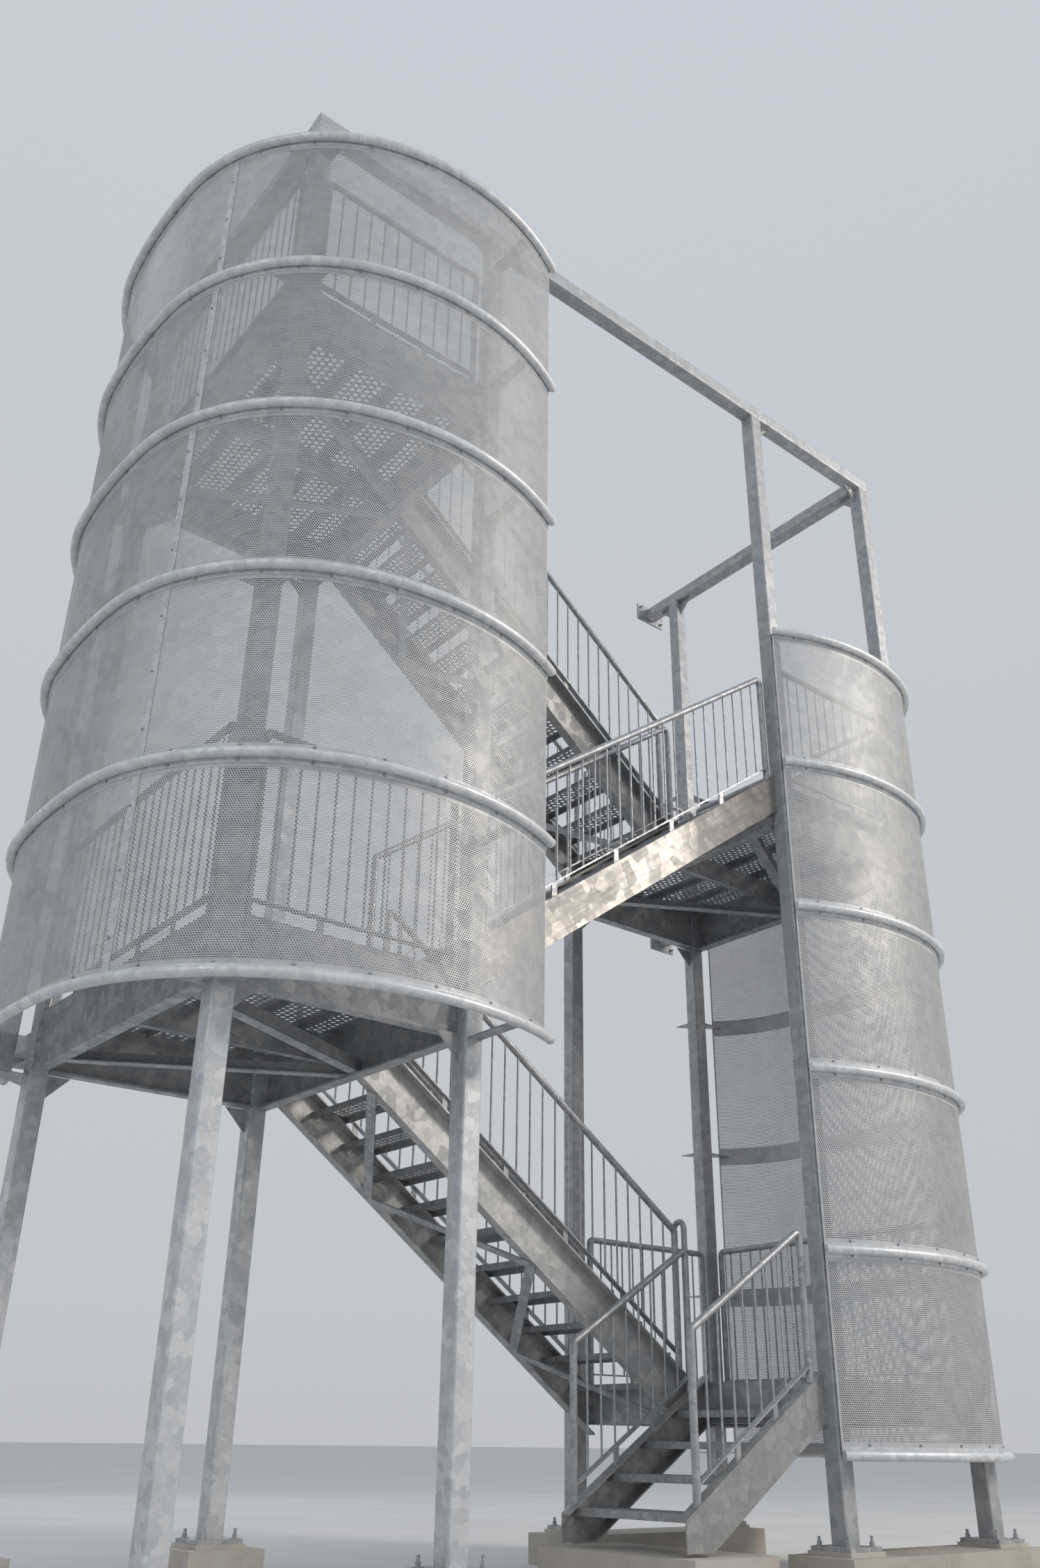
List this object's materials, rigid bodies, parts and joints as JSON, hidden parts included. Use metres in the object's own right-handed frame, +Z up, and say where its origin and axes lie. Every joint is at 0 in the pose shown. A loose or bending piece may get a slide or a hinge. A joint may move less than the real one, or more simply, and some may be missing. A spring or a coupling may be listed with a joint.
{
  "type": "fire escape stair tower",
  "caption": "Galvanised steel fire escape stair: straight flights zigzag between landings held on square posts, with tube guards and curved perforated screens on pipe rings.",
  "frame": {"origin": "bottom centre of the bounding box, on the level that the plinths rest on", "axes": "+Z up, +Y towards the wall that the tower is tied to, +X along the wall to the right as seen from outside"},
  "size_m": [7.355, 3.531, 9.3635],
  "materials": {
    "galvanised_steel": "hot dip galvanised, dull, spangled",
    "galvanised_rail": "hot dip galvanised, dull",
    "galvanised_ring": "hot dip galvanised, dull",
    "perforated_screen": "perforated galvanised sheet, dull",
    "perforated_tread": "perforated galvanised plank, dull",
    "concrete": "cast concrete, rough",
    "grout": "cement grout, rough"
  },
  "bodies": {
    "root": {"posts_left": "galvanised_steel", "posts_right": "galvanised_steel", "base_plates": "galvanised_steel", "grout_pads": "grout", "plinths_left": "concrete", "plinth_right": "concrete", "stair_foot_block": "concrete", "top_beam": "galvanised_steel", "wall_struts": "galvanised_steel", "wall_plates": "galvanised_steel", "landing_ties": "galvanised_steel", "knee_plates": "galvanised_steel", "frame_l1": "galvanised_steel", "frame_l2": "galvanised_steel", "frame_l3": "galvanised_steel", "frame_l4": "galvanised_steel", "deck_l1": "perforated_tread", "deck_l2": "perforated_tread", "deck_l3": "perforated_tread", "deck_l4": "perforated_tread", "stringers_f1": "galvanised_steel", "stringers_f2": "galvanised_steel", "stringers_f3": "galvanised_steel", "stringers_f4": "galvanised_steel", "treads_f1": "perforated_tread", "treads_f2": "perforated_tread", "treads_f3": "perforated_tread", "treads_f4": "perforated_tread", "soffit_bracing": "galvanised_steel", "guard_f1_outer": "galvanised_rail", "guard_f1_inner": "galvanised_rail", "guard_f2_outer": "galvanised_rail", "guard_f2_inner": "galvanised_rail", "guard_f3_outer": "galvanised_rail", "guard_f3_inner": "galvanised_rail", "guard_f4_outer": "galvanised_rail", "guard_f4_inner": "galvanised_rail", "guards_l1": "galvanised_rail", "guards_l2": "galvanised_rail", "guards_l3": "galvanised_rail", "guards_l4": "galvanised_rail", "screen_left_front": "perforated_screen", "screen_left_side": "perforated_screen", "screen_right_front": "perforated_screen", "screen_right_side": "perforated_screen", "rings_left": "galvanised_ring", "rings_right": "galvanised_ring", "screen_brackets_left": "galvanised_steel", "screen_brackets_right": "galvanised_steel", "seam_strips": "galvanised_ring"}
  },
  "joints": []
}
